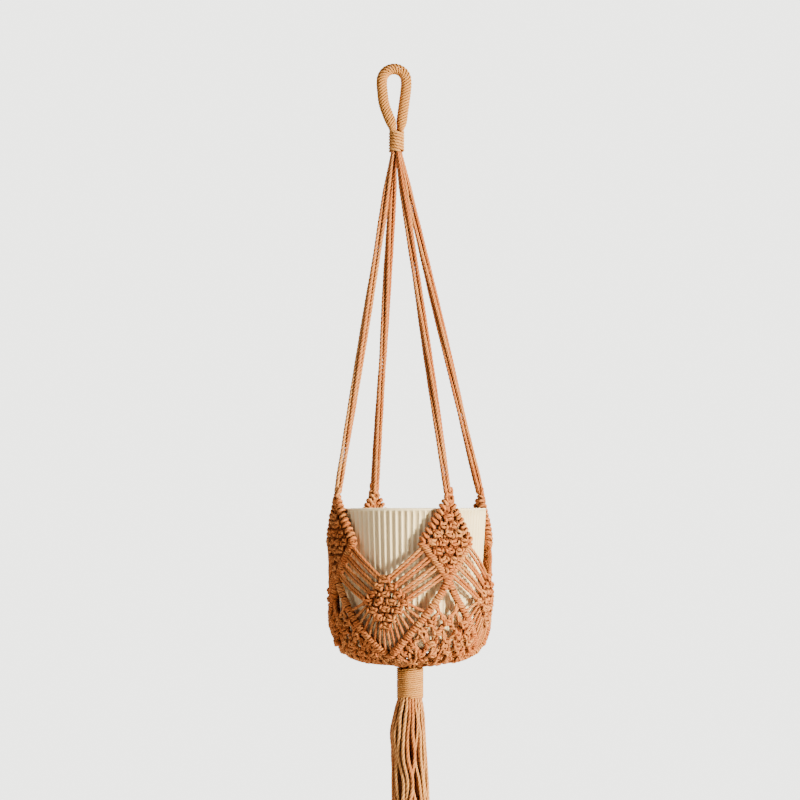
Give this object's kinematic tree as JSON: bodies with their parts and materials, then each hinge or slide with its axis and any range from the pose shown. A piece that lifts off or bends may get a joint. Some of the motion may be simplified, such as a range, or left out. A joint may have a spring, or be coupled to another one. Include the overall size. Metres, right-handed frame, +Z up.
{
  "type": "hanging macrame planter",
  "caption": "Knotted cord plant hanger with a hanging loop, four long arms, a patterned basket round a fluted ceramic pot, and a tassel below.",
  "frame": {"origin": "where the hook bears, on the inner top of the hanging loop's eye", "axes": "+Z up along the hanging direction; -Y is the front, with one arm 27 degrees to its right; the loop lies in the XZ plane"},
  "size_m": [0.1658, 0.1658, 0.8844],
  "materials": {
    "cord": "single twist cotton cord, terracotta, matt with a soft fuzz",
    "wrap_cord": "tightly laid golden wrapping cord with a slight sheen",
    "pot_glaze": "satin cream glaze over fluted stoneware"
  },
  "bodies": {
    "loop": {"loop_cords": "cord", "loop_wrap": "wrap_cord"},
    "neck": {"neck_cords": "cord", "neck_wrap": "wrap_cord"},
    "hanger": {"arm_front_right": "cord", "arm_back_right": "cord", "arm_back_left": "cord", "arm_front_left": "cord", "apex_knot_front_right": "cord", "apex_knot_back_right": "cord", "apex_knot_back_left": "cord", "apex_knot_front_left": "cord", "diamond_front_right": "cord", "diamond_back_right": "cord", "diamond_back_left": "cord", "diamond_front_left": "cord", "border_front_right": "cord", "border_back_right": "cord", "border_back_left": "cord", "border_front_left": "cord", "bay_cords_front": "cord", "bay_cords_right": "cord", "bay_cords_back": "cord", "bay_cords_left": "cord", "knot_cluster_front": "cord", "knot_cluster_right": "cord", "knot_cluster_back": "cord", "knot_cluster_left": "cord", "ray_cords_front": "cord", "ray_cords_right": "cord", "ray_cords_back": "cord", "ray_cords_left": "cord", "lower_ridge_front": "cord", "lower_ridge_right": "cord", "lower_ridge_back": "cord", "lower_ridge_left": "cord", "base_net_front_right": "cord", "base_net_back_right": "cord", "base_net_back_left": "cord", "base_net_front_left": "cord", "base_gather": "cord"},
    "pot": {"pot": "pot_glaze"},
    "tassel_head": {"tassel_wrap": "wrap_cord", "tassel_cords": "cord"},
    "tassel": {"tassel_crown": "cord", "tassel_outer_strands": "cord", "tassel_inner_strands": "cord"}
  },
  "joints": [
    {"name": "neck_swing", "type": "hinge", "parent": "loop", "child": "neck", "pos_m": [0.0025, 0, -0.057], "axis": [1, 0, 0], "range_deg": [-35, 35]},
    {"name": "hanger_twist", "type": "hinge", "parent": "neck", "child": "hanger", "pos_m": [0.0025, 0, -0.079], "axis": [0, 0, 1], "range_deg": [-90, 90], "stiffness_Nm_per_rad": 0.05},
    {"name": "pot_turn", "type": "hinge", "parent": "hanger", "child": "pot", "pos_m": [0.016, 0, -0.506], "axis": [0, 0, 1], "continuous": true},
    {"name": "tassel_side_swing", "type": "hinge", "parent": "hanger", "child": "tassel_head", "pos_m": [0.016, 0, -0.6048], "axis": [0, 1, 0], "range_deg": [-45, 45]},
    {"name": "tassel_front_swing", "type": "hinge", "parent": "tassel_head", "child": "tassel", "pos_m": [0.016, 0, -0.6395], "axis": [1, 0, 0], "range_deg": [-45, 45]}
  ]
}
